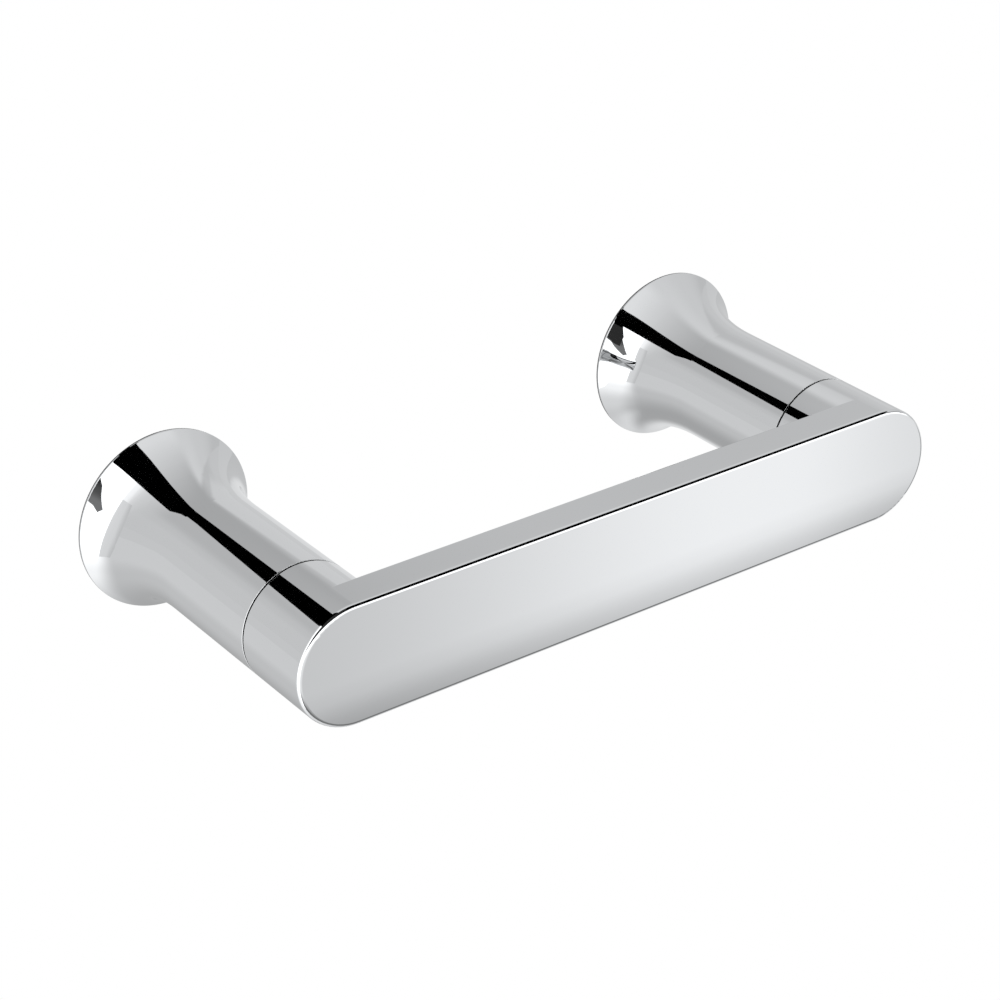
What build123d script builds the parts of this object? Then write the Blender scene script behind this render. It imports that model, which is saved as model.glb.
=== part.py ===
"""Wall-mounted toilet paper holder with two flared posts and a swing-up arm.

Frame, in millimetres: the wall is the plane Y = 0, +X is to the right and +Z is up as seen by a person
facing the wall, and the holder stands out from the wall along -Y. The origin is on the wall, midway
between the posts, at the height of their axes. The arm turns about the left post's axis. Its right end
rests on a pin in the right post and lifts off it.
"""

import os
from math import cos, degrees, radians, sin, sqrt

from build123d import *

# Overall shape
POST_SPACING = 170.8  # between the two posts' axes
TUBE_RADIUS = 16.8  # posts, arm ends and half the bar's height
FLANGE_RADIUS = 25.3  # at the wall
PROJECTION = 92.9  # wall to the front of the bar
BAR_DEPTH = 11.0  # front to back
POST_X = POST_SPACING / 2

# Outer edges
FLARE_START = -27.5  # where the straight tube ends and the sweep to the flange starts
FLARE_BEND = -9.4  # where the tube's line and the sweep's tangent at the rim cross
RIM_WIDTH = 0.4  # straight edge of the flange
RIM_ROUND = 0.25
FRONT_ROUND = 1.3  # edge of the bar's front face
BACK_ROUND = 0.4  # edge of the bar's back face
SEAM_ROUND = 0.15  # edges that face each other at the two seams

# Seams between the posts and the arm
ARM_END_Y = -67.95  # rear faces of the arm's two ends
PIVOT_GAP = 0.55
REST_GAP = 0.5

# Gaskets, thin dark rings between the flanges and the wall
GASKET_THICKNESS = 0.5
GASKET_WIDTH = 1.9
GASKET_INSET = 0.05  # from the flange's edge

# Post shells
SHELL = 2.4
NOSE = 8.0  # thickness of a post's front wall
THREAD_PLAY = 0.05  # radial, between a thread's crests and its tapped hole
PRESS_PLAY = 0.02  # radial, between a pressed piece and its hole
OVERCUT = 1.0  # how far a cut starts outside the face that it opens

# Set screws, M5 x 8 with a cone point, under each flange
SET_SCREW_Y = -12.0
SET_SCREW_RADIUS = 2.5
SET_SCREW_LENGTH = 8.0
SET_SCREW_TIP_Z = -8.4
SET_SCREW_CONE = 1.6
SET_SCREW_FLAT = 0.8  # radius of the cone's blunt tip
SET_SCREW_KEY = 2.5  # hex socket across flats
SET_SCREW_KEY_DEPTH = 3.0
BOSS_RADIUS = 4.8
BOSS_TIP_Z = -10.6

# Wall brackets
BRACKET_RADIUS = 18.5
BRACKET_THICKNESS = 2.5
BRACKET_EDGE = 0.5
HUB_RADIUS = 9.0
HUB_FRONT_Y = -16.0
HUB_CHAMFER = 1.0
GROOVE_Y = -11.6  # a little nearer the wall than the set screw, so that the screw pulls the post in
GROOVE_DEPTH = 1.5
GROOVE_HALF_WIDTH = 2.4
CORE_RADIUS = 5.5  # pocket in the hub's back
CORE_DEPTH = 11.0
SCREW_HOLE_SPACING = 27.0
SCREW_HOLE_RADIUS = 2.3

# Pivot in the left post: an M5 shoulder screw in two flanged bushes
SHOULDER_RADIUS = 3.0
SHOULDER_PLAY = 0.05
SHOULDER_SEAT = 1.0  # depth that the shoulder enters the arm
PIVOT_THREAD_RADIUS = 2.5
PIVOT_THREAD_LENGTH = 11.0
TAP_RUNOUT = 1.0  # how much deeper the tapped hole is than the screw
BUSH_RADIUS = 5.0
BUSH_FLANGE_RADIUS = 9.0
BUSH_FLANGE = 1.3
BUSH_LENGTH = 3.6  # flange included
BUSH_SEAT_PLAY = 0.05
BUSH_STANDS_PROUD = 0.5  # keeps the two chrome faces apart
WASHER_RADIUS = 8.0
WASHER_THICKNESS = 1.0
SPRING_RADIUS = 7.4
SPRING_THICKNESS = 0.6
SPRING_CONE = 0.55
SPRING_PLAY = 0.15  # radial, around the shoulder
HEAD_RADIUS = 5.5
HEAD_HEIGHT = 4.5
HEAD_KEY = 4.0
HEAD_KEY_DEPTH = 2.6
HEAD_CHAMFER = 0.5

# Stop pin in the left post, in an arc groove in the arm's end
SWING = 95.0  # degrees
STOP_RADIUS = 11.8  # from the pivot axis
STOP_ANGLE = 135.0  # degrees from +X towards +Z
STOP_PIN_RADIUS = 1.5
STOP_PIN_BORE = 0.8
STOP_PIN_LENGTH = 8.0
STOP_PIN_PROUD = 2.2
STOP_PLAY = 0.25
STOP_END_PLAY = 0.3
STOP_GROOVE_DEPTH = 2.6

# Rest pin in the right post, with a nylon cap, in a slot in the arm's end
REST_PIN_RADIUS = 2.5
REST_PIN_HEAD_RADIUS = 4.5
REST_PIN_HEAD = 2.0
REST_PIN_PROUD = 4.9
CAP_RADIUS = 3.6
CAP_FRONT = 0.7
CAP_ROUND = 0.4
SLOT_PLAY = 0.2
SLOT_DEPTH = 6.3

EDGE_TOLERANCE = 1e-3  # for picking an edge by its place and radius

PIVOT_FACE_Y = ARM_END_Y + PIVOT_GAP
REST_FACE_Y = ARM_END_Y + REST_GAP
BAR_BACK_Y = -PROJECTION + BAR_DEPTH
RIM_BACK = -GASKET_THICKNESS
FLARE_END = RIM_BACK - RIM_WIDTH
FLARE_SLOPE = (FLARE_END - FLARE_BEND) / (FLANGE_RADIUS - TUBE_RADIUS)


def lathe(*lines):
    """Solid of revolution about Y. Lines run through points given as (radius, y)."""
    return revolve(make_face(Wire(lines)), Axis.Y)


def disc(radius, y_back, y_front):
    """Cylinder on the Y axis between two faces."""
    length = y_back - y_front
    return Pos(0, (y_back + y_front) / 2, 0) * Rot(90, 0, 0) * Cylinder(radius, length)


def ring(outer, inner, y_back, y_front):
    return disc(outer, y_back, y_front) - disc(inner, y_back, y_front)


def hex_socket_y(across_flats, y_mouth, y_floor):
    """Hexagonal pocket on the Y axis, open towards +Y."""
    outline = Plane.XZ.offset(-y_mouth) * RegularPolygon(across_flats / 2, 6, major_radius=False)
    return extrude(outline, y_mouth - y_floor)


def round_edge_at(solid, y, radius, size):
    """Rounds the circular edge of one radius in the plane at y."""
    circles = solid.edges().filter_by(GeomType.CIRCLE)
    circles = circles.filter_by_position(Axis.Y, y - EDGE_TOLERANCE, y + EDGE_TOLERANCE)
    return fillet([e for e in circles if abs(e.radius - radius) < EDGE_TOLERANCE], size)


def flare_sweep(offset):
    """Concave curve from the tube to the flange, moved inwards by an offset square to both its ends."""
    tube = TUBE_RADIUS - offset
    slant = sqrt(1 + FLARE_SLOPE**2)
    end = (FLANGE_RADIUS - offset * FLARE_SLOPE / slant, FLARE_END + offset / slant)
    bend_y = end[1] - (end[0] - tube) * FLARE_SLOPE
    return Bezier((tube, FLARE_START), (tube, bend_y), end)


def post_shell(face_y):
    """Flared shell on the Y axis, open at its wide end and closed by a nose at face_y."""
    outer = lathe(
        Line((0, face_y), (TUBE_RADIUS, face_y)),
        Line((TUBE_RADIUS, face_y), (TUBE_RADIUS, FLARE_START)),
        flare_sweep(0),
        Line((FLANGE_RADIUS, FLARE_END), (FLANGE_RADIUS, RIM_BACK)),
        Line((FLANGE_RADIUS, RIM_BACK), (0, RIM_BACK)),
        Line((0, RIM_BACK), (0, face_y)),
    )
    outer = round_edge_at(outer, face_y, TUBE_RADIUS, SEAM_ROUND)
    outer = round_edge_at(outer, FLARE_END, FLANGE_RADIUS, RIM_ROUND)
    nose_back = face_y + NOSE
    inner_radius = TUBE_RADIUS - SHELL
    inner_sweep = flare_sweep(SHELL)
    mouth = inner_sweep @ 1
    hollow = lathe(
        Line((0, nose_back), (inner_radius, nose_back)),
        Line((inner_radius, nose_back), (inner_radius, FLARE_START)),
        inner_sweep,
        Line(mouth, (0, mouth.Y)),
        Line((0, mouth.Y), (0, nose_back)),
    )
    boss = Pos(0, SET_SCREW_Y, BOSS_TIP_Z - TUBE_RADIUS / 2) * Cylinder(BOSS_RADIUS, TUBE_RADIUS)
    tapped = Pos(0, SET_SCREW_Y, -FLANGE_RADIUS / 2) * Cylinder(
        SET_SCREW_RADIUS + THREAD_PLAY, FLANGE_RADIUS
    )
    return outer - hollow + (boss & hollow) - tapped


def stop_pin_place(angle):
    return Pos(STOP_RADIUS * cos(radians(angle)), 0, STOP_RADIUS * sin(radians(angle)))


def left_post():
    """Post with the pivot: a stepped bore for the bushes and a hole for the stop pin."""
    face = PIVOT_FACE_Y
    bore = disc(BUSH_RADIUS + PRESS_PLAY, face + NOSE, face)
    seat = disc(BUSH_FLANGE_RADIUS + BUSH_SEAT_PLAY, face + BUSH_FLANGE - BUSH_STANDS_PROUD, face)
    stop_hole = stop_pin_place(STOP_ANGLE) * disc(
        STOP_PIN_RADIUS + PRESS_PLAY, face + STOP_PIN_LENGTH - STOP_PIN_PROUD, face
    )
    return Pos(-POST_X, 0, 0) * (post_shell(face) - bore - seat - stop_hole)


def right_post():
    """Post with the rest: a plain bore for the rest pin."""
    bore = disc(REST_PIN_RADIUS + PRESS_PLAY, REST_FACE_Y + NOSE, REST_FACE_Y)
    return Pos(POST_X, 0, 0) * (post_shell(REST_FACE_Y) - bore)


def rest_slot():
    """The path that the capped rest pin takes through the arm's right end as the arm lifts."""
    half_width = CAP_RADIUS + SLOT_PLAY
    y_back = ARM_END_Y + OVERCUT
    y_front = ARM_END_Y - SLOT_DEPTH
    sweep = Pos(-POST_SPACING, 0, 0) * ring(
        POST_SPACING + half_width, POST_SPACING - half_width, y_back, y_front
    )
    reach = TUBE_RADIUS + OVERCUT
    below = Pos(0, (y_back + y_front) / 2, -reach / 2) * Box(2 * TUBE_RADIUS, y_back - y_front, reach)
    return disc(half_width, y_back, y_front) + (sweep & below)


def stop_groove():
    """Arc groove that the stop pin runs in, on the pivot axis."""
    half_width = STOP_PIN_RADIUS + STOP_PLAY
    y_back = ARM_END_Y + OVERCUT
    y_front = ARM_END_Y - STOP_GROOVE_DEPTH
    end_play = degrees(STOP_END_PLAY / STOP_RADIUS)
    first = STOP_ANGLE - SWING - end_play
    last = STOP_ANGLE + end_play
    arc = CenterArc((0, 0, 0), STOP_RADIUS, first, last - first)
    path_plane = Plane(origin=(0, y_back, 0), x_dir=(1, 0, 0), z_dir=(0, -1, 0))
    outline = path_plane * SlotArc(arc, 2 * half_width)
    return extrude(outline, y_back - y_front)


def roll_arm():
    """Bar with a rounded front edge and an end stub behind each half-round end, cast in one piece."""
    outline = SlotOverall(POST_SPACING + 2 * TUBE_RADIUS, 2 * TUBE_RADIUS)
    bar = extrude(Plane.XZ.offset(-BAR_BACK_Y) * outline, BAR_DEPTH)
    bar = fillet(bar.faces().sort_by(Axis.Y)[0].edges(), FRONT_ROUND)
    bar = fillet(bar.faces().sort_by(Axis.Y)[-1].edges(), BACK_ROUND)
    stub_front = -PROJECTION + BAR_DEPTH / 2
    stub = round_edge_at(disc(TUBE_RADIUS, ARM_END_Y, stub_front), ARM_END_Y, TUBE_RADIUS, SEAM_ROUND)
    shoulder_seat = disc(SHOULDER_RADIUS + SHOULDER_PLAY, ARM_END_Y, ARM_END_Y - SHOULDER_SEAT)
    thread_front = ARM_END_Y - SHOULDER_SEAT - PIVOT_THREAD_LENGTH - TAP_RUNOUT
    tapped = disc(PIVOT_THREAD_RADIUS + THREAD_PLAY, ARM_END_Y, thread_front)
    left_end = Pos(-POST_X, 0, 0)
    right_end = Pos(POST_X, 0, 0)
    arm = bar + left_end * stub + right_end * stub
    return arm - left_end * (shoulder_seat + tapped + stop_groove()) - right_end * rest_slot()


def gasket():
    outer = FLANGE_RADIUS - GASKET_INSET
    return ring(outer, outer - GASKET_WIDTH, 0, RIM_BACK)


def wall_bracket():
    """Disc that is screwed to the wall, with a grooved hub that the set screw bites on."""
    edge = BRACKET_THICKNESS - BRACKET_EDGE
    groove_floor = HUB_RADIUS - GROOVE_DEPTH
    outline = Polyline(
        (0, 0),
        (BRACKET_RADIUS, 0),
        (BRACKET_RADIUS, -edge),
        (BRACKET_RADIUS - BRACKET_EDGE, -BRACKET_THICKNESS),
        (HUB_RADIUS, -BRACKET_THICKNESS),
        (HUB_RADIUS, GROOVE_Y + GROOVE_HALF_WIDTH),
        (groove_floor, GROOVE_Y),
        (HUB_RADIUS, GROOVE_Y - GROOVE_HALF_WIDTH),
        (HUB_RADIUS, HUB_FRONT_Y + HUB_CHAMFER),
        (HUB_RADIUS - HUB_CHAMFER, HUB_FRONT_Y),
        (0, HUB_FRONT_Y),
        close=True,
    )
    body = revolve(make_face(outline), Axis.Y) - disc(CORE_RADIUS, 0, -CORE_DEPTH)
    hole = disc(SCREW_HOLE_RADIUS, 0, -BRACKET_THICKNESS)
    for z in (-SCREW_HOLE_SPACING / 2, SCREW_HOLE_SPACING / 2):
        body -= Pos(0, 0, z) * hole
    return body


def set_screw():
    """Headless screw that stands along Z, cone point up and hex socket down."""
    tail = SET_SCREW_TIP_Z - SET_SCREW_LENGTH
    profile = Polyline(
        (0, SET_SCREW_TIP_Z),
        (SET_SCREW_FLAT, SET_SCREW_TIP_Z),
        (SET_SCREW_RADIUS, SET_SCREW_TIP_Z - SET_SCREW_CONE),
        (SET_SCREW_RADIUS, tail),
        (0, tail),
        close=True,
    )
    body = revolve(Plane.XZ * make_face(profile), Axis.Z)
    key = RegularPolygon(SET_SCREW_KEY / 2, 6, major_radius=False)
    socket = extrude(Plane.XY.offset(tail) * key, SET_SCREW_KEY_DEPTH)
    return Pos(0, SET_SCREW_Y, 0) * (body - socket)


def bush():
    """Flanged bush on the Y axis. Its flange face is at Y = 0 and its sleeve runs towards +Y."""
    body = disc(BUSH_FLANGE_RADIUS, BUSH_FLANGE, 0) + disc(BUSH_RADIUS, BUSH_LENGTH, 0)
    return body - disc(SHOULDER_RADIUS + SHOULDER_PLAY, BUSH_LENGTH, 0)


def pivot_parts():
    """The pivot's pieces on the Y axis, from the seam back into the post."""
    nose_back = PIVOT_FACE_Y + NOSE
    washer_back = nose_back + BUSH_FLANGE + WASHER_THICKNESS
    spring_back = washer_back + SPRING_THICKNESS + SPRING_CONE
    bore = SHOULDER_RADIUS + SHOULDER_PLAY
    spring_bore = SHOULDER_RADIUS + SPRING_PLAY
    seam_bush = Pos(0, PIVOT_FACE_Y - BUSH_STANDS_PROUD, 0) * bush()
    inner_bush = Pos(0, nose_back + BUSH_FLANGE, 0) * Rot(180, 0, 0) * bush()
    washer = ring(WASHER_RADIUS, bore, washer_back, nose_back + BUSH_FLANGE)
    spring_outline = Polyline(
        (spring_bore, spring_back - SPRING_THICKNESS),
        (spring_bore, spring_back),
        (SPRING_RADIUS, washer_back + SPRING_THICKNESS),
        (SPRING_RADIUS, washer_back),
        close=True,
    )
    spring = revolve(make_face(spring_outline), Axis.Y)
    head_back = spring_back + HEAD_HEIGHT
    shoulder_front = ARM_END_Y - SHOULDER_SEAT
    head = disc(HEAD_RADIUS, head_back, spring_back)
    screw = (
        chamfer(head.edges().sort_by(Axis.Y)[-1], HEAD_CHAMFER)
        + disc(SHOULDER_RADIUS, spring_back, shoulder_front)
        + disc(PIVOT_THREAD_RADIUS, shoulder_front, shoulder_front - PIVOT_THREAD_LENGTH)
        - hex_socket_y(HEAD_KEY, head_back, head_back - HEAD_KEY_DEPTH)
    )
    return {
        "pivot_bush_front": seam_bush,
        "pivot_bush_rear": inner_bush,
        "pivot_washer": washer,
        "pivot_disc_spring": spring,
        "pivot_screw": screw,
    }


def stop_pin():
    """Rolled spring pin with a bore, pressed into the left post's face."""
    front = PIVOT_FACE_Y - STOP_PIN_PROUD
    body = ring(STOP_PIN_RADIUS, STOP_PIN_BORE, front + STOP_PIN_LENGTH, front)
    return stop_pin_place(STOP_ANGLE) * body


def rest_pin():
    """Headed pin, put in from inside the right post."""
    nose_back = REST_FACE_Y + NOSE
    head = disc(REST_PIN_HEAD_RADIUS, nose_back + REST_PIN_HEAD, nose_back)
    return head + disc(REST_PIN_RADIUS, nose_back, REST_FACE_Y - REST_PIN_PROUD)


def rest_cap():
    """Nylon cap that is pushed over the rest pin's end."""
    front = REST_FACE_Y - REST_PIN_PROUD
    cap = disc(CAP_RADIUS, REST_FACE_Y, front - CAP_FRONT) - disc(
        REST_PIN_RADIUS + PRESS_PLAY, REST_FACE_Y, front
    )
    return round_edge_at(cap, front - CAP_FRONT, CAP_RADIUS, CAP_ROUND)


def main():
    at_left = Pos(-POST_X, 0, 0)
    at_right = Pos(POST_X, 0, 0)
    nodes = {
        "left_post": left_post(),
        "right_post": right_post(),
        "roll_arm": roll_arm(),
        "stop_pin": at_left * stop_pin(),
        "rest_pin": at_right * rest_pin(),
        "rest_cap": at_right * rest_cap(),
    }
    for side, place in (("left", at_left), ("right", at_right)):
        nodes[f"{side}_gasket"] = place * gasket()
        nodes[f"{side}_wall_bracket"] = place * wall_bracket()
        nodes[f"{side}_set_screw"] = place * set_screw()
    for name, piece in pivot_parts().items():
        nodes[name] = at_left * piece
    os.makedirs("parts", exist_ok=True)
    for name, piece in nodes.items():
        export_step(piece, f"parts/{name}.step")


main()
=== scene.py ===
"""Looks of the wall-mounted toilet paper holder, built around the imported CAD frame. Units are metres."""

import math

import bmesh
import bpy
import numpy as np
from mathutils import Matrix, Vector


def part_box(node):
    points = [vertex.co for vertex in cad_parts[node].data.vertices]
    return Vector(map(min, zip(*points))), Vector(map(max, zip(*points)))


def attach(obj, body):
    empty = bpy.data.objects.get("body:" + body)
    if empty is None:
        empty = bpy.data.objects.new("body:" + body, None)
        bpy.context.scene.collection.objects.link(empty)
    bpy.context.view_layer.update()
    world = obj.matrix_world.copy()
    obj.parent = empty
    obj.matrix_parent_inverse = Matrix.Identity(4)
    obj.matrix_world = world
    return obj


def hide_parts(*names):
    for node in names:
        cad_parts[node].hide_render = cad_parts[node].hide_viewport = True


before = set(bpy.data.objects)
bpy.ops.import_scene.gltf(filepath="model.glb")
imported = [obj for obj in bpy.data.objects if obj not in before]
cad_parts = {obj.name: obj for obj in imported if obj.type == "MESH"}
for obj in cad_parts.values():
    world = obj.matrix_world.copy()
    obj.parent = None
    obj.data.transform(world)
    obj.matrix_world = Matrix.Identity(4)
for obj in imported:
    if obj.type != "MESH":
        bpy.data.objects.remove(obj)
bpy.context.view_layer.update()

MM = 0.001
TURN = 2 * math.pi


def smooth(x, low, high):
    """0 below low, 1 above high and a soft step between."""
    t = np.clip((x - low) / (high - low), 0, 1)
    return t * t * (3 - 2 * t)


def blend(a, b, share):
    """a at share 0 and b at share 1."""
    return a + (b - a) * share


# Camera ---------------------------------------------------------------------------------------------------

CAMERA_PLACE = Vector((-0.37015, -0.54074, 0.32908))
CAMERA_HEADING = math.radians(36.147)  # from +Y towards +X
CAMERA_TILT = math.radians(-28.224)
CAMERA_ROLL = math.radians(-0.318)
LENS_MM = 93.63
SENSOR_MM = 36.0


def make_camera():
    data = bpy.data.cameras.new("camera")
    data.lens = LENS_MM
    data.sensor_width = SENSOR_MM
    camera = bpy.data.objects.new("camera", data)
    bpy.context.scene.collection.objects.link(camera)
    bpy.context.scene.camera = camera
    forward = Vector(
        (
            math.sin(CAMERA_HEADING) * math.cos(CAMERA_TILT),
            math.cos(CAMERA_HEADING) * math.cos(CAMERA_TILT),
            math.sin(CAMERA_TILT),
        )
    )
    aim = forward.to_track_quat("-Z", "Y").to_matrix().to_4x4()
    camera.matrix_world = Matrix.Translation(CAMERA_PLACE) @ aim @ Matrix.Rotation(CAMERA_ROLL, 4, "Z")


make_camera()


# Studio ---------------------------------------------------------------------------------------------------
# A shallow light tent of glowing cards that only reflections and soft light see. Levels are 8-bit greys, as
# they show after one reflection in chrome. WHITE is a glow well past the brightest of them.

TENT_HEIGHT = 0.30  # ceiling and floor cards, above and below the holder
TENT_REACH = 2.4
LEVEL_STEP = 0.02  # mesh size of the ceiling and floor cards
UPRIGHT_STEP = 0.006  # mesh size of the upright cards

CEILING_STEP_X = -0.10
CEILING_LEFT_FRONT_Y = -0.272  # the ceiling's front edge, left and right of CEILING_STEP_X
CEILING_RIGHT_FRONT_Y = -0.32
STRIPE_LEFT_X = -0.247  # black stripe on the ceiling, narrower behind its kink
STRIPE_RIGHT_X = -0.081
STRIPE_KINK_X = -0.170
STRIPE_KINK_Y = (0.256, 0.325)
STRIPE_DROP = 0.001  # how far it hangs below the ceiling

BAR_FLAG_HEIGHT = 0.12
BAR_FLAG_SIDES = (-0.058, 0.22)
BAR_FLAG_FRONT_Y = -0.255
BAR_FLAG_BACK_Y = -0.0935
BAR_FLAG_END_X = (-0.30, -0.12)  # left side of its grey end, in front and at the back
BAR_FLAG_END_Y = -0.16  # where that side turns slanted
BAR_FLAG_END_LEVEL = 42
BAR_FLAG_TOP_INSET = 0.0005
BAR_FLAG_TOP_GAP = 0.0002

SIDE_X = -0.49  # upright card on the left
SIDE_Y = (-0.085, 0.10)
CORNER = (-0.60, -0.16)  # where the cards turn from the side to the front
CORNER_TOPS = (0.115, 0.09)  # the corner card's top at either end
FRONT_Y = -0.205
FRONT_X = (-0.20, 0.80)
FRONT_TOP = 0.092

BACKDROP_RADIUS = 8
CAMERA_FLOOR_REACH = 6.0
CAMERA_FLOOR_DROP = 0.01  # below the floor card

WHITE = 1.7
CHROME_SHINE = 0.80
CARD_TINT = (0.99, 1.0, 1.01)
ROOM_LEVEL = 195
RAYS = ("camera", "diffuse", "glossy", "transmission", "volume_scatter", "shadow")


def grey(level):
    """Glow that shows as an 8-bit grey level once chrome has mirrored it."""
    c = level / 255
    linear = c / 12.92 if c <= 0.04045 else ((c + 0.055) / 1.055) ** 2.4
    return linear / CHROME_SHINE


def ramp(x, *stops):
    """Soft curve through stops, each a place and its grey level."""
    value = np.full_like(x, grey(stops[0][1]))
    for (start, _), (end, level) in zip(stops[:-1], stops[1:]):
        value = blend(value, grey(level), smooth(x, start, end))
    return value


def seen_only_by(obj, *rays):
    for ray in RAYS:
        setattr(obj, "visible_" + ray, ray in rays)


def glow_material(name, strength=1.0, attribute=None):
    material = bpy.data.materials.new(name)
    material.use_nodes = True
    nodes, links = material.node_tree.nodes, material.node_tree.links
    nodes.clear()
    out = nodes.new("ShaderNodeOutputMaterial")
    glow = nodes.new("ShaderNodeEmission")
    glow.inputs["Strength"].default_value = strength
    if attribute:
        level = nodes.new("ShaderNodeAttribute")
        level.attribute_name = attribute
        links.new(level.outputs["Color"], glow.inputs["Color"])
    links.new(glow.outputs["Emission"], out.inputs["Surface"])
    return material


def stage_mesh(name, points, faces, material, rays):
    mesh = bpy.data.meshes.new(name)
    mesh.from_pydata(points, [], faces)
    mesh.materials.append(material)
    obj = bpy.data.objects.new(name, mesh)
    bpy.context.scene.collection.objects.link(obj)
    seen_only_by(obj, *rays)
    return obj


def card(name, corners, level, step):
    """Glowing four-cornered card with a mesh of about step. level is a function of x, y and z."""
    a, b, c, d = (np.array(corner, float) for corner in corners)
    across = int(max(np.linalg.norm(b - a), np.linalg.norm(c - d)) / step) + 2
    along = int(max(np.linalg.norm(d - a), np.linalg.norm(c - b)) / step) + 2
    u, v = np.meshgrid(np.linspace(0, 1, across), np.linspace(0, 1, along))
    u, v = u.reshape(-1, 1), v.reshape(-1, 1)
    points = blend(blend(a, b, u), blend(d, c, u), v)
    index = np.arange(along * across).reshape(along, across)
    quads = np.stack([index[:-1, :-1], index[:-1, 1:], index[1:, 1:], index[1:, :-1]], axis=-1)
    material = glow_material(name, attribute="level")
    obj = stage_mesh(name, points.tolist(), quads.reshape(-1, 4).tolist(), material, ("diffuse", "glossy"))
    value = level(*points.T)
    colours = np.stack([value * tint for tint in CARD_TINT] + [np.ones_like(value)], axis=1)
    layer = obj.data.color_attributes.new("level", "FLOAT_COLOR", "POINT")
    layer.data.foreach_set("color", colours.astype(np.float32).ravel())


def level_card(name, x_range, y_range, z, level):
    (x0, x1), (y0, y1) = x_range, y_range
    card(name, ((x0, y0, z), (x1, y0, z), (x1, y1, z), (x0, y1, z)), level, LEVEL_STEP)


def upright_card(name, start, end, tops, level):
    """Card that stands on the floor between two (x, y) places, with a top height at each."""
    low = -TENT_HEIGHT
    card(name, ((*start, low), (*end, low), (*end, tops[1]), (*start, tops[0])), level, UPRIGHT_STEP)


def far_right(x, y):
    """Share of the corner behind the holder on its right, which has greys of its own."""
    slant = 0.97
    return smooth(x - slant * y, -0.10, 0.14)


def ceiling_level(x, y, _):
    """Right of the black stripe a soft slope, which gives way to flatter greys far right and behind. Left of
    it a bright band that runs out sideways."""
    right = ramp(y, (-0.25, 222), (0.34, 164))
    side = ramp(x, (0.2, 204), (0.4, 198), (1.2, 185))
    behind = blend(ramp(x, (0.14, 175), (0.3, 186), (0.5, 182)), grey(199), smooth(y, 0.40, 0.47))
    behind = blend(behind, ramp(x, (0.4, 184), (0.9, 192)), far_right(x, y))
    side = blend(side, behind, smooth(y, 0.26, 0.32))
    right = blend(right, side, smooth(x, 0.105, 0.20))
    back = blend(grey(196), ramp(x, (-0.60, 193), (-0.44, 189), (-0.28, 177)), smooth(y, 0.12, 0.32))
    edge = ramp(y, (-0.03, 255), (0.02, 246), (0.07, 214), (0.10, 203), (0.2, 196))
    left = blend(edge, back, smooth(y, 0.1, 0.2))
    left = blend(WHITE, left, smooth(y, -0.03, 0.01))
    return blend(left, right, smooth(x, -0.19, -0.15))


def shade_level(x, y, _):
    """In front of the ceiling: dark over the holder, dim far out on the left."""
    return ramp(-x, (0.38, 6), (0.6, 75), (0.95, 112))


def floor_level(x, y, _):
    """A band under the holder that darkens to the right, a dip behind it, and a dark right half in front."""
    back = ramp(x, (-0.5, 200), (-0.25, 187), (0.03, 160), (0.1, 160), (0.26, 207))
    band = ramp(x, (-0.45, 262), (-0.3, 246), (-0.1, 210), (0.05, 192))
    under = ramp(-y, (-0.05, 215), (0.08, 195), (0.17, 130), (0.32, 120))
    under = blend(under, grey(225), smooth(x, 0.15, 0.5) * 0.7)
    level = blend(band, back, smooth(y, -0.03, 0.12))
    level = blend(level, grey(186), smooth(x, 0.32, 0.48) * far_right(x, y) * smooth(y, 0.15, 0.3))
    return blend(level, under, smooth(-y, -0.12, -0.02) * smooth(x, -0.05, 0.05))


def white_level(x, y, _):
    return np.full_like(x, WHITE)


def strip_level(x, y, _):
    """Strip beside the wall, darker towards its back edge."""
    return ramp(y, (0.0, 214), (0.05, 210), (0.10, 188))


def front_level(x, y, z):
    """What the bar's face mirrors: grey in the middle and brighter to both sides, darker low down and white
    high up."""
    face = ramp(x, (-0.25, 262), (-0.14, 225), (-0.05, 196), (0.14, 239), (0.155, 239), (0.225, 222))
    foot = ramp(x, (-0.25, 220), (-0.14, 190), (-0.05, 155), (0.14, 198), (0.155, 198), (0.225, 181))
    level = blend(foot, face, smooth(z, -0.105, -0.087))
    level = blend(grey(110), level, smooth(z, -0.15, -0.105))
    return blend(level, WHITE, smooth(z, -0.015, 0.045))


def flag(name, outline, z, strength=0.0):
    """Level card of one even glow. Without a strength it is black, a crisp dark line in the chrome."""
    points = [(x, y, z) for x, y in outline]
    face = tuple(range(len(points)))
    stage_mesh(name, points, [face], glow_material(name, strength), ("diffuse", "glossy"))


def make_stripe_flag():
    """Black stripe along the ceiling, which loses its left part at the kink."""
    kink_start, kink_end = STRIPE_KINK_Y
    outline = (
        (STRIPE_LEFT_X, -TENT_REACH),
        (STRIPE_LEFT_X, kink_start),
        (STRIPE_KINK_X, kink_end),
        (STRIPE_KINK_X, TENT_REACH),
        (STRIPE_RIGHT_X, TENT_REACH),
        (STRIPE_RIGHT_X, -TENT_REACH),
    )
    flag("stripe_flag", outline, TENT_HEIGHT - STRIPE_DROP)


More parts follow.
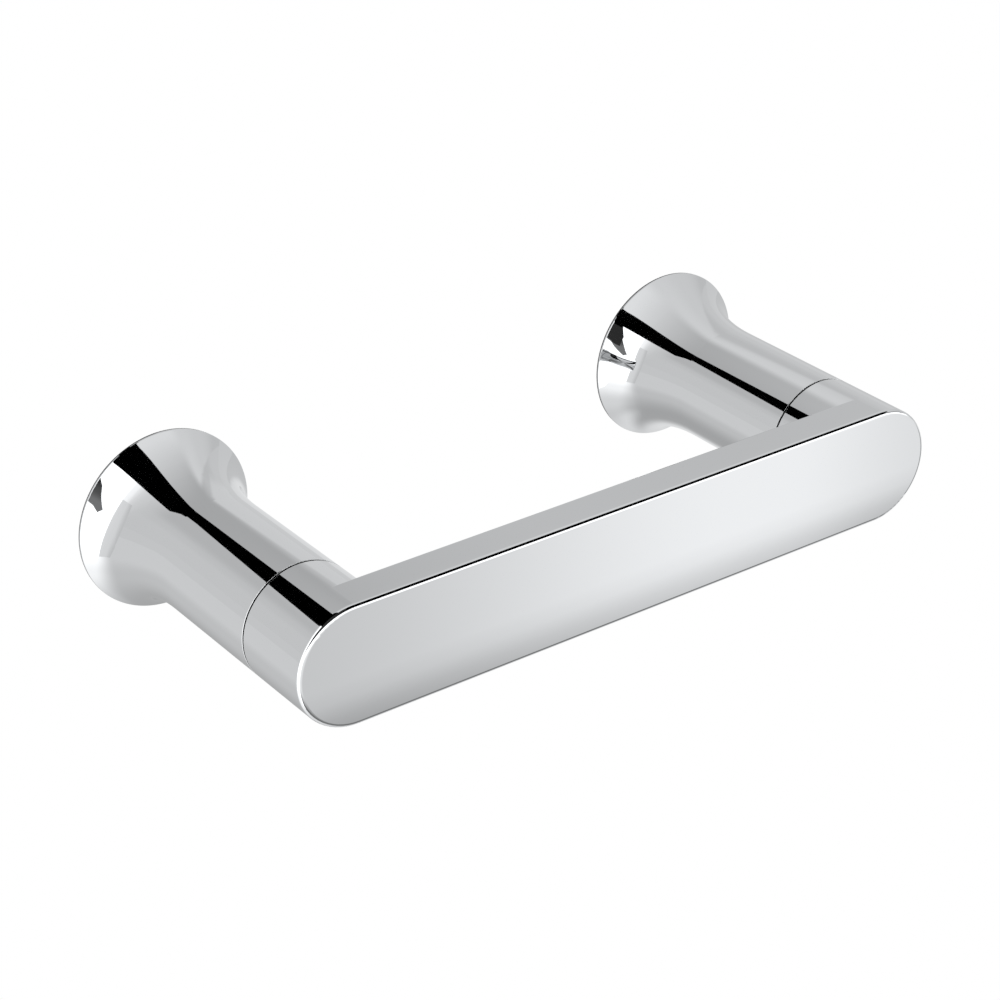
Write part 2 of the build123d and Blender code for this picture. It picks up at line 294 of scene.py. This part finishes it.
def make_bar_flag():
    """Black card over the bar's front edge, with a dark grey end on its left and a plain grey top."""
    (left, right), front, back = BAR_FLAG_SIDES, BAR_FLAG_FRONT_Y, BAR_FLAG_BACK_Y
    end_front_x, end_back_x = BAR_FLAG_END_X
    outline = ((left, front), (right, front), (right, back), (left, back))
    flag("bar_flag", outline, BAR_FLAG_HEIGHT)
    outline = (
        (left, front),
        (left, back),
        (end_back_x, back),
        (end_front_x, BAR_FLAG_END_Y),
        (end_front_x, front),
    )
    flag("bar_flag_end", outline, BAR_FLAG_HEIGHT, grey(BAR_FLAG_END_LEVEL))
    inset = BAR_FLAG_TOP_INSET
    outline = (
        (right - inset, front + inset),
        (right - inset, back - inset),
        (end_back_x + inset, back - inset),
        (end_front_x + inset, BAR_FLAG_END_Y - inset),
        (end_front_x + inset, front + inset),
    )
    flag("bar_flag_top", outline, BAR_FLAG_HEIGHT + BAR_FLAG_TOP_GAP, grey(ROOM_LEVEL))


def make_ceiling_and_floor():
    """Two ceiling cards with a step between their front edges, shade cards before them, and the floor."""
    left, right = (-TENT_REACH, CEILING_STEP_X), (CEILING_STEP_X, TENT_REACH)
    sides = (("left", left, CEILING_LEFT_FRONT_Y), ("right", right, CEILING_RIGHT_FRONT_Y))
    for side, x_range, front in sides:
        level_card(side + "_ceiling_card", x_range, (front, TENT_REACH), TENT_HEIGHT, ceiling_level)
        level_card(side + "_shade_card", x_range, (-TENT_REACH, front), TENT_HEIGHT, shade_level)
    reach = (-TENT_REACH, TENT_REACH)
    level_card("floor_card", reach, reach, -TENT_HEIGHT, floor_level)


def make_upright_cards():
    """Cards on the left and in front, in a row from the wall's side to far right of the bar."""
    side_front, side_back = SIDE_Y
    full = (TENT_HEIGHT, TENT_HEIGHT)
    turn, end = ((x, FRONT_Y) for x in FRONT_X)
    upright_card("side_card", (SIDE_X, side_front), (SIDE_X, 0), full, white_level)
    upright_card("side_strip", (SIDE_X, 0), (SIDE_X, side_back), full, strip_level)
    upright_card("corner_card", (SIDE_X, side_front), CORNER, CORNER_TOPS, white_level)
    upright_card("left_front_card", CORNER, turn, (CORNER_TOPS[1], FRONT_TOP), white_level)
    upright_card("front_card", turn, end, (FRONT_TOP, FRONT_TOP), front_level)


def make_room():
    """White floor and backdrop for the camera alone, and one even grey around the tent."""
    far, z = CAMERA_FLOOR_REACH, -TENT_HEIGHT - CAMERA_FLOOR_DROP
    corners = [(-far, -far, z), (far, -far, z), (far, far, z), (-far, far, z)]
    stage_mesh("floor", corners, [(0, 1, 2, 3)], glow_material("floor"), ("camera",))
    bpy.ops.mesh.primitive_uv_sphere_add(segments=48, ring_count=24, radius=BACKDROP_RADIUS)
    backdrop = bpy.context.object
    backdrop.name = "backdrop"
    backdrop.data.materials.append(glow_material("backdrop"))
    seen_only_by(backdrop, "camera")
    world = bpy.data.worlds.new("world")
    bpy.context.scene.world = world
    world.use_nodes = True
    background = world.node_tree.nodes["Background"]
    background.inputs["Color"].default_value = (*CARD_TINT, 1)
    background.inputs["Strength"].default_value = grey(ROOM_LEVEL)


make_ceiling_and_floor()
make_stripe_flag()
make_bar_flag()
make_upright_cards()
make_room()


# Finishes -------------------------------------------------------------------------------------------------


class Finish:
    """One material's nodes. Textures run in metres, so at a scale of 1000 a feature is 1 mm across."""

    def __init__(self, name, metallic):
        self.material = bpy.data.materials.new(name)
        self.material.use_nodes = True
        self.nodes = self.material.node_tree.nodes
        self.links = self.material.node_tree.links
        self.shader = self.nodes["Principled BSDF"]
        self.shader.inputs["Metallic"].default_value = metallic
        self.where = self.nodes.new("ShaderNodeTexCoord")

    def stretched(self, scale):
        """Place with a scale of its own along each axis."""
        mapping = self.nodes.new("ShaderNodeMapping")
        mapping.inputs["Scale"].default_value = scale
        self.links.new(self.where.outputs["Object"], mapping.inputs["Vector"])
        return mapping.outputs["Vector"]

    def noise(self, scale, detail=2.0, place=None):
        node = self.nodes.new("ShaderNodeTexNoise")
        node.inputs["Scale"].default_value = scale
        node.inputs["Detail"].default_value = detail
        self.links.new(place or self.where.outputs["Object"], node.inputs["Vector"])
        return node.outputs["Fac"]

    def cells(self, scale):
        node = self.nodes.new("ShaderNodeTexVoronoi")
        node.inputs["Scale"].default_value = scale
        self.links.new(self.where.outputs["Object"], node.inputs["Vector"])
        return node.outputs["Distance"]

    def maths(self, operation, a, b=None):
        node = self.nodes.new("ShaderNodeMath")
        node.operation = operation
        for socket, value in zip(node.inputs, (a, b)):
            if isinstance(value, (int, float)):
                socket.default_value = value
            elif value is not None:
                self.links.new(value, socket)
        return node.outputs["Value"]

    def spread(self, value, low, high, start=0.35, end=0.65):
        """Stretches a texture's middle range over low to high."""
        node = self.nodes.new("ShaderNodeMapRange")
        self.links.new(value, node.inputs["Value"])
        for socket, number in zip(("From Min", "From Max", "To Min", "To Max"), (start, end, low, high)):
            node.inputs[socket].default_value = number
        return node.outputs["Result"]

    def mixed(self, share, a, b):
        """Colour between a and b by share."""
        node = self.nodes.new("ShaderNodeMix")
        node.data_type = "RGBA"
        self.links.new(share, node.inputs["Factor"])
        sockets = [socket for socket in node.inputs if socket.type == "RGBA"]
        for socket, colour in zip(sockets, (a, b)):
            if isinstance(colour, tuple):
                socket.default_value = (*colour, 1)
            else:
                self.links.new(colour, socket)
        return next(socket for socket in node.outputs if socket.type == "RGBA")

    def blended(self, share, a, b):
        """Number between a and b by share."""
        rest = self.maths("SUBTRACT", 1.0, share)
        return self.maths("ADD", self.maths("MULTIPLY", rest, a), self.maths("MULTIPLY", share, b))

    def set(self, socket, output):
        self.links.new(output, self.shader.inputs[socket])

    def relief(self, height, depth):
        """Bump of a depth in metres."""
        node = self.nodes.new("ShaderNodeBump")
        if isinstance(depth, float):
            node.inputs["Distance"].default_value = depth
        else:
            self.links.new(depth, node.inputs["Distance"])
        self.links.new(height, node.inputs["Height"])
        self.set("Normal", node.outputs["Normal"])


CHROME = (0.795, 0.80, 0.806)
POLISH_RIPPLE = 1.2e-6
RIPPLE_SCALE = 330
CAST_GRAIN = 3.0e-5
INWARD = -0.0005  # place times normal, both across the post's axis: below this a wall faces the axis
WALLWARD = 0.6  # share of the normal along Y, past which a face looks at the wall


def polish(finish):
    """Roughness of polished plating: a slow haze, and hairlines from the buffing wheel."""
    haze = finish.spread(finish.noise(160, detail=3.0), 0.020, 0.036)
    hairlines = finish.noise(1.0, place=finish.stretched((250, 4200, 4200)))
    return finish.maths("ADD", haze, finish.spread(hairlines, 0.0, 0.016, start=0.55, end=0.75))


def plated_chrome():
    finish = Finish("polished_chrome", metallic=1.0)
    finish.shader.inputs["Base Color"].default_value = (*CHROME, 1)
    finish.set("Roughness", polish(finish))
    finish.relief(finish.noise(RIPPLE_SCALE, detail=1.0), POLISH_RIPPLE)
    return finish.material


def plated_post(node):
    """Polished outside. The walls that face the post's axis and the faces towards the wall stay as cast."""
    finish = Finish(node + "_chrome", metallic=1.0)
    low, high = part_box(node)
    place = finish.nodes.new("ShaderNodeSeparateXYZ")
    normal = finish.nodes.new("ShaderNodeSeparateXYZ")
    finish.links.new(finish.where.outputs["Object"], place.inputs["Vector"])
    finish.links.new(finish.where.outputs["Normal"], normal.inputs["Vector"])
    across = finish.maths("SUBTRACT", place.outputs["X"], (low[0] + high[0]) / 2)
    sideways = finish.maths("MULTIPLY", across, normal.outputs["X"])
    up_or_down = finish.maths("MULTIPLY", place.outputs["Z"], normal.outputs["Z"])
    outward = finish.maths("ADD", sideways, up_or_down)
    inner_wall = finish.maths("LESS_THAN", outward, INWARD)
    back_face = finish.maths("GREATER_THAN", normal.outputs["Y"], WALLWARD)
    cast = finish.maths("MAXIMUM", inner_wall, back_face)
    grain = finish.noise(1900, detail=4.0)
    dark, light = (0.36, 0.365, 0.375), (0.46, 0.465, 0.47)
    raw_zinc = finish.mixed(finish.spread(finish.noise(240, detail=3.0), 0.0, 1.0), dark, light)
    finish.set("Base Color", finish.mixed(cast, CHROME, raw_zinc))
    finish.set("Roughness", finish.blended(cast, polish(finish), finish.spread(grain, 0.42, 0.60)))
    height = finish.blended(cast, finish.noise(RIPPLE_SCALE, detail=1.0), grain)
    finish.relief(height, finish.blended(cast, POLISH_RIPPLE, CAST_GRAIN))
    return finish.material


def cast_zinc():
    """Shot-blasted casting: uneven grey, darker patches and a fine pitted grain."""
    finish = Finish("cast_zinc", metallic=1.0)
    dark, light = (0.40, 0.405, 0.415), (0.53, 0.535, 0.545)
    patches = finish.spread(finish.noise(210, detail=4.0), 0.0, 1.0)
    finish.set("Base Color", finish.mixed(patches, dark, light))
    grain = finish.noise(2300, detail=5.0)
    pits = finish.spread(finish.cells(1500), 0.0, 1.0, start=0.0, end=0.35)
    finish.set("Roughness", finish.spread(grain, 0.38, 0.58))
    finish.relief(finish.maths("ADD", grain, pits), depth=2.5e-5)
    return finish.material


def zinc_plated_steel():
    """Bright zinc with a faint blue and straw bloom, over the turning marks of the blank."""
    finish = Finish("zinc_plated_steel", metallic=1.0)
    blue, straw = (0.58, 0.61, 0.67), (0.68, 0.67, 0.63)
    bloom = finish.spread(finish.noise(420), 0.0, 1.0)
    finish.set("Base Color", finish.mixed(bloom, blue, straw))
    marks = finish.noise(1.0, place=finish.stretched((500, 9000, 500)))
    finish.set("Roughness", finish.spread(marks, 0.20, 0.36))
    finish.relief(marks, depth=4.0e-6)
    return finish.material


def spring_steel():
    """Hardened strip with an oiled, blue-black skin and a few brighter rubs."""
    finish = Finish("spring_steel", metallic=1.0)
    blue_black, rubbed = (0.17, 0.18, 0.215), (0.36, 0.36, 0.37)
    rubs = finish.spread(finish.noise(700, detail=4.0), 0.0, 1.0, start=0.52, end=0.68)
    finish.set("Base Color", finish.mixed(rubs, blue_black, rubbed))
    skin = finish.noise(2600, detail=3.0)
    finish.set("Roughness", finish.spread(skin, 0.28, 0.45))
    finish.relief(skin, depth=5.0e-6)
    return finish.material


def foam_rubber():
    """Closed-cell black foam, cut from sheet. Its black also stands in for the shade in the gap between a
    flange's rim and the wall: painted shade.
    """
    finish = Finish("foam_rubber", metallic=0.0)
    hollow, skin = (0.012, 0.012, 0.013), (0.034, 0.034, 0.035)
    cells = finish.spread(finish.cells(3200), 0.0, 1.0, start=0.0, end=0.5)
    finish.set("Base Color", finish.mixed(cells, hollow, skin))
    finish.set("Roughness", finish.spread(finish.noise(900), 0.78, 0.95))
    finish.relief(cells, depth=4.0e-5)
    return finish.material


def acetal():
    """Natural acetal: waxy off-white with the mould's fine satin."""
    finish = Finish("acetal", metallic=0.0)
    waxy, pale = (0.80, 0.80, 0.765), (0.86, 0.86, 0.835)
    cloud = finish.spread(finish.noise(260), 0.0, 1.0)
    finish.set("Base Color", finish.mixed(cloud, waxy, pale))
    satin = finish.noise(4200, detail=3.0)
    finish.set("Roughness", finish.spread(satin, 0.34, 0.48))
    finish.relief(satin, depth=3.0e-6)
    return finish.material


FINISHES = {
    "polished_chrome": plated_chrome(),
    "cast_zinc": cast_zinc(),
    "zinc_plated_steel": zinc_plated_steel(),
    "spring_steel": spring_steel(),
    "foam_rubber": foam_rubber(),
    "acetal": acetal(),
}

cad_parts["roll_arm"].data.materials[0] = FINISHES["polished_chrome"]
for post in ("left_post", "right_post"):
    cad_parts[post].data.materials[0] = plated_post(post)


# Hardware -------------------------------------------------------------------------------------------------
# Profiles are in millimetres. A row is a radius and a height on the piece's axis, and a corner is a row with
# the size of its rounding.

SMOOTH_ANGLE = math.radians(32)
ARC_STEPS = 4
M5_RADIUS = 2.5
M5_PITCH = 0.8


def rounded(corners):
    """Rows along an outline, with an arc in each corner that has a size. An open outline's first and last
    corners have none."""
    rows = []
    for k, (radius, height, size) in enumerate(corners):
        if size == 0:
            rows.append((radius, height))
            continue
        here = Vector((radius, height))
        before = (Vector(corners[k - 1][:2]) - here).normalized()
        after = (Vector(corners[(k + 1) % len(corners)][:2]) - here).normalized()
        half = before.angle(after) / 2
        centre = here + (before + after).normalized() * size / math.sin(half)
        start = here + before * size / math.tan(half) - centre
        end = here + after * size / math.tan(half) - centre
        rows += [tuple(centre + start.slerp(end, i / ARC_STEPS) * size) for i in range(ARC_STEPS + 1)]
    return rows


def turned(rows, steps=96, ring=False):
    """Closed lathe mesh about Z. A row's radius or height may be a function of the angle. A ring's rows
    close on themselves, and any other piece starts and ends with a row on the axis."""
    bm = bmesh.new()
    loops = []
    for radius, height in rows:
        if not callable(radius) and radius == 0:
            loops.append([bm.verts.new((0, 0, height * MM))] * steps)
            continue
        loop = []
        for i in range(steps):
            angle = TURN * i / steps
            r = radius(angle) if callable(radius) else radius
            h = height(angle) if callable(height) else height
            loop.append(bm.verts.new((r * MM * math.cos(angle), r * MM * math.sin(angle), h * MM)))
        loops.append(loop)
    following = loops[1:] + loops[:1] if ring else loops[1:]
    for a, b in zip(loops, following):
        for i in range(steps):
            j = (i + 1) % steps
            bm.faces.new(list(dict.fromkeys((a[i], a[j], b[j], b[i]))))
    bmesh.ops.recalc_face_normals(bm, faces=bm.faces)
    return bm


def hexagon(across):
    """Radius of a hexagon of a width across its flats, by angle."""
    return lambda angle: across / 2 / math.cos((angle + TURN / 12) % (TURN / 6) - TURN / 12)


def knurl(radius, depth, teeth):
    """Radius of a toothed rim, by angle."""
    return lambda angle: radius - depth * abs((angle * teeth / TURN) % 1 - 0.5) * 2


def thread(radius, pitch, start, end, limit):
    """Rows of a right-hand 60 degree thread. limit gives the most that the radius may be at a height."""
    depth, rows_per_turn = 0.6 * pitch, 8
    crest, root = 1 / 8, 1 / 4

    def row(height):
        def at(angle):
            from_crest = abs((height / pitch - angle / TURN + 0.5) % 1 - 0.5) * 2
            share = min(max((from_crest - crest) / (1 - crest - root), 0), 1)
            return min(radius - depth * share, limit(height))

        return at

    count = round((end - start) / pitch * rows_per_turn)
    heights = [start + (end - start) * i / count for i in range(count + 1)]
    return [(row(height), height) for height in heights]


def on_y(node, towards):
    """Lays a piece that stands on Z along its node's Y axis: -1 from the back forwards, 1 from the front
    back."""
    low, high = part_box(node)
    y = high[1] if towards < 0 else low[1]
    place = Matrix.Translation(((low[0] + high[0]) / 2, y, (low[2] + high[2]) / 2))
    return place @ Matrix.Rotation(-towards * TURN / 4, 4, "X")


def upright(node):
    """Stands a piece on the underside of its node's box."""
    low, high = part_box(node)
    return Matrix.Translation(((low[0] + high[0]) / 2, (low[1] + high[1]) / 2, low[2]))


def mesh_object(name, bm):
    mesh = bpy.data.meshes.new(name)
    bm.to_mesh(mesh)
    bm.free()
    obj = bpy.data.objects.new(name, mesh)
    bpy.context.scene.collection.objects.link(obj)
    return obj


def add_piece(name, bm, place, node, body, slot):
    """Makes a mesh the piece that stands for a CAD node."""
    bm.transform(place)
    obj = mesh_object(name, bm)
    obj.data.materials.append(FINISHES[slot])
    obj.data.shade_smooth()
    obj.data.set_sharp_from_angle(angle=SMOOTH_ANGLE)
    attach(obj, body)
    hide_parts(node)


def length_of(node, axis=1):
    """Size of a node's box in millimetres, along Y unless told otherwise."""
    low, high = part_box(node)
    return (high[axis] - low[axis]) / MM


def set_screw(node):
    """M5 cone point screw: hex socket at the tail, thread, and a cone with a blunt tip."""
    length = length_of(node, 2)
    cone_slope, tip, tail, margin = 1.0625, 0.75, 2.1, 0.05
    key, key_depth, drill_tip, sink, mouth = 2.5, 3.0, 0.5, 0.25, 1.75

    def limit(height):
        return min(M5_RADIUS, tail + height, tip + (length - height) * cone_slope)

    rows = [(0, key_depth + drill_tip), (hexagon(key), key_depth), (hexagon(key), sink)]
    rows += [(mouth, 0), (tail, 0)]
    rows += thread(M5_RADIUS, M5_PITCH, margin, length - margin, limit)
    rows += [(tip, length), (0, length)]
    return turned(rows, steps=72)


def pivot_screw():
    """M5 shoulder screw: knurled head with a hex socket, ground shoulder, undercut and thread."""
    length = length_of("pivot_screw")
    head = (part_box("pivot_screw")[1][1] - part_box("pivot_disc_spring")[1][1]) / MM
    head_radius, shoulder, core, thread_length, undercut = 5.5, 3.0, 1.95, 11.0, 0.7
    key, key_depth, drill_tip, sink, mouth = 4.0, 2.6, 0.8, 0.3, 2.6
    thread_start = length - thread_length
    grip = knurl(head_radius, 0.28, 36)
    rows = [(0, key_depth + drill_tip), (hexagon(key), key_depth), (hexagon(key), sink), (mouth, 0.0)]
    rows += [(4.75, 0.0), (4.95, 0.06), (5.1, 0.2), (5.22, 0.5), (grip, 0.8), (grip, head - 0.6)]
    rows += [(5.22, head - 0.35), (5.15, head - 0.1), (5.0, head)]
    rows += rounded([(5.0, head, 0), (shoulder, head, 0.2), (shoulder, thread_start, 0)])[1:-1]
    rows += [(shoulder, thread_start - 0.25), (shoulder - 0.25, thread_start), (core + 0.2, thread_start)]
    rows += [(core, thread_start + 0.2), (core, thread_start + undercut)]

    def limit(height):
        return min(M5_RADIUS, core + (height - thread_start - undercut), core - 0.1 + length - height)

    rows += thread(M5_RADIUS, M5_PITCH, thread_start + undercut + 0.1, length - 0.05, limit)
    rows += [(core - 0.15, length), (0, length)]
    return turned(rows, steps=144)


def bush():
    """Moulded flanged bush, from its flange's face. Six shallow grooves in the face hold grease."""
    bore, flange, sleeve, flange_height, length = 3.05, 9.0, 5.0, 1.3, 3.6
    grooves, groove_share, groove_depth, groove_run = 6, 0.14, 0.22, 0.3
    groove_start, groove_end = 4.1, 8.3

    def face(angle):
        off = abs((angle * grooves / TURN) % 1 - 0.5) * 2
        return groove_depth * (1 - min(off / groove_share, 1))

    corners = [(flange, 0, 0.25), (flange, flange_height, 0.2), (sleeve, flange_height, 0.2)]
    corners += [(sleeve, length, 0.35), (bore, length, 0.25), (bore, 0, 0.25)]
    rows = rounded(corners)
    rows += [(groove_start, 0), (groove_start + groove_run, face)]
    rows += [(groove_end - groove_run, face), (groove_end, 0)]
    return turned(rows, steps=144, ring=True)


def washer():
    """Stamped washer: rounded where the punch went in, sharp where it came out."""
    outer, bore, thickness, sharp = 8.0, 3.05, 1.0, 0.06
    corners = [(outer, 0, sharp), (outer, thickness, 0.3), (bore, thickness, 0.25), (bore, 0, sharp)]
    return turned(rounded(corners), ring=True)


def disc_spring():
    """Conical spring, highest at its bore."""
    outer, bore, thickness, cone, edge = 7.4, 3.15, 0.6, 0.55, 0.15
    corners = [(outer, cone, edge), (outer, cone + thickness, edge)]
    corners += [(bore, thickness, edge), (bore, 0, edge)]
    return turned(rounded(corners), ring=True)


def stop_pin():
    """Spring pin rolled from strip, with a slit along it and tapered ends."""
    length = length_of("stop_pin")
    outer, end_radius, bore, slit, taper, steps = 1.5, 1.2, 0.8, 0.45, 0.6, 56
    bm = bmesh.new()
    loops = []
    for height, widest in ((0, end_radius), (taper, outer), (length - taper, outer), (length, end_radius)):
        loop = []
        for radius, way in ((widest, 1), (bore, -1)):
            start = math.asin(slit / 2 / radius)
            for i in range(steps + 1)[::way]:
                angle = start + (TURN - 2 * start) * i / steps
                x, y = radius * MM * math.cos(angle), radius * MM * math.sin(angle)
                loop.append(bm.verts.new((x, y, height * MM)))
        loops.append(loop)
    count = len(loops[0])
    for a, b in zip(loops, loops[1:]):
        for i in range(count):
            j = (i + 1) % count
            bm.faces.new((a[i], a[j], b[j], b[i]))
    for loop in (loops[0], loops[-1]):
        for i in range(steps):
            bm.faces.new((loop[i], loop[i + 1], loop[count - 2 - i], loop[count - 1 - i]))
    bmesh.ops.recalc_face_normals(bm, faces=bm.faces)
    return bm


def rest_pin():
    """Headed pin: a low dome, a knurled shank for the press fit and a plain rounded end."""
    length = length_of("rest_pin")
    head_radius, head, radius, shank = 4.5, 2.0, 2.5, 8.0
    grip = knurl(radius, 0.16, 24)
    rows = [(0, 0), (1.5, 0.04), (2.8, 0.15), (3.7, 0.34), (4.2, 0.6), (4.44, 0.9), (head_radius, 1.2)]
    rows += [(head_radius, head - 0.2), (head_radius - 0.2, head), (radius + 0.25, head)]
    rows += [(radius - 0.05, head + 0.2), (radius - 0.18, head + 0.3), (radius - 0.18, head + 0.7)]
    rows += [(grip, head + 1.0), (grip, head + shank - 1.2), (radius - 0.12, head + shank - 0.9)]
    rows += [(radius - 0.02, head + shank - 0.6)]
    rows += rounded([(radius, head + shank, 0), (radius - 0.02, length, 0.5), (0, length, 0)])[1:]
    return turned(rows, steps=144)


def rest_cap():
    """Moulded cap over the pin's end, with a soft outer edge and a lead-in chamfer."""
    length = length_of("rest_cap")
    radius, bore, front = 3.6, 2.52, 0.7
    corners = [(0, length - front, 0), (bore, length - front, 0.15), (bore, 0, 0.25), (radius, 0, 0.15)]
    corners += [(radius, length, 0.5), (0, length, 0)]
    return turned(rounded(corners))


def gasket():
    """Thin ring of black foam with softly rounded edges, behind the flange. Besides being a gasket, it puts
    painted shade along the flange's rim where the gap to the wall is dark.
    """
    width, thickness, outer = 1.9, length_of("left_gasket"), length_of("left_gasket", 0) / 2
    corners = [(outer, 0, 0.12), (outer, thickness, 0.15)]
    corners += [(outer - width, thickness, 0.15), (outer - width, 0, 0.12)]
    return turned(rounded(corners), steps=192, ring=True)


def web(angle):
    """Tapered rib from the bracket's hub out to its disc."""
    bm = bmesh.new()
    thickness, foot, inner, outer = 1.8, 1.6, 8.2, 17.0
    outline = ((inner, foot), (outer, foot), (outer - 0.4, 3.0), (11.0, 5.2), (inner, 8.4))
    sides = []
    for y in (-thickness / 2, thickness / 2):
        sides.append([bm.verts.new((radius * MM, y * MM, height * MM)) for radius, height in outline])
    bm.faces.new(sides[0])
    bm.faces.new(sides[1][::-1])
    for i in range(len(outline)):
        j = (i + 1) % len(outline)
        bm.faces.new((sides[0][i], sides[0][j], sides[1][j], sides[1][i]))
    bm.transform(Matrix.Rotation(angle, 4, "Z"))
    bmesh.ops.recalc_face_normals(bm, faces=bm.faces)
    return bm


def screw_hole(across):
    """Cutter for a wall screw's hole with a chamfered mouth, longer than the disc is thick."""
    hole, mouth, chamfer_start, start, end = 2.3, 2.9, 2.0, -1, 4
    rows = [(0, start), (hole, start), (hole, chamfer_start)]
    rows += [(mouth, chamfer_start + mouth - hole), (mouth, end), (0, end)]
    bm = turned(rows, steps=48)
    bm.transform(Matrix.Translation((0, across * MM, 0)))
    return bm


def carve(obj, bm, operation):
    """Boolean of an object and a mesh, applied."""
    tool = mesh_object("tool", bm)
    modifier = obj.modifiers.new("boolean", "BOOLEAN")
    modifier.operation = operation
    modifier.solver = "EXACT"
    modifier.object = tool
    result = bpy.data.meshes.new_from_object(obj.evaluated_get(bpy.context.evaluated_depsgraph_get()))
    obj.modifiers.clear()
    obj.data = result
    bpy.data.objects.remove(tool)


def wall_bracket():
    """Die-cast disc with a hub: pocket behind, V groove for the set screw, four ribs and two screw holes."""
    disc, thickness, hub, length = 18.5, 2.5, 9.0, 16
    pocket, pocket_mouth, pocket_depth = 5.2, 5.5, 11
    groove, groove_half, groove_depth = 11.6, 2.4, 1.5
    webs, screws_apart = 4, 27
    corners = [(0, pocket_depth, 0), (pocket, pocket_depth, 0.6), (pocket_mouth, 0, 0.3)]
    corners += [(disc, 0, 0.25), (disc, thickness, 0.5), (hub + 0.1, thickness, 0.7)]
    corners += [(hub, groove - groove_half, 0.15), (hub - groove_depth, groove, 0.25)]
    corners += [(hub, groove + groove_half, 0.15), (hub, length, 0.9), (0, length, 0)]
    obj = mesh_object("casting", turned(rounded(corners), steps=144))
    for k in range(webs):
        halfway = TURN * (k + 0.5) / webs
        carve(obj, web(halfway), "UNION")
    for across in (-screws_apart / 2, screws_apart / 2):
        carve(obj, screw_hole(across), "DIFFERENCE")
    bm = bmesh.new()
    bm.from_mesh(obj.data)
    bpy.data.objects.remove(obj)
    bmesh.ops.remove_doubles(bm, verts=bm.verts, dist=1e-6)
    return bm


def make_hardware():
    """One piece for each CAD node inside the posts, and the gaskets."""
    steel, plastic = "zinc_plated_steel", "acetal"
    for side in ("left", "right"):
        node = side + "_set_screw"
        add_piece(side + "_m5_set_screw", set_screw(node), upright(node), node, "wall_posts", steel)
        node = side + "_wall_bracket"
        add_piece(side + "_cast_bracket", wall_bracket(), on_y(node, -1), node, "wall_posts", "cast_zinc")
        node = side + "_gasket"
        # The black foam gaskets are real pieces that also paint the dark shade line along each flange's rim
        # against the wall.
        add_piece(side + "_foam_gasket_painted_shade", gasket(), on_y(node, -1), node, "wall_posts", "foam_rubber")
    for name, bm, towards, node, body, slot in (
        ("shoulder_screw", pivot_screw(), -1, "pivot_screw", "arm", steel),
        ("thrust_washer", washer(), -1, "pivot_washer", "arm", steel),
        ("disc_spring", disc_spring(), -1, "pivot_disc_spring", "arm", "spring_steel"),
        ("seam_bush", bush(), 1, "pivot_bush_front", "wall_posts", plastic),
        ("inner_bush", bush(), -1, "pivot_bush_rear", "wall_posts", plastic),
        ("rolled_stop_pin", stop_pin(), -1, "stop_pin", "wall_posts", "spring_steel"),
        ("pressed_rest_pin", rest_pin(), -1, "rest_pin", "wall_posts", steel),
        ("moulded_rest_cap", rest_cap(), -1, "rest_cap", "wall_posts", plastic),
    ):
        add_piece(name, bm, on_y(node, towards), node, body, slot)


make_hardware()

bpy.context.scene.view_settings.view_transform = "Standard"
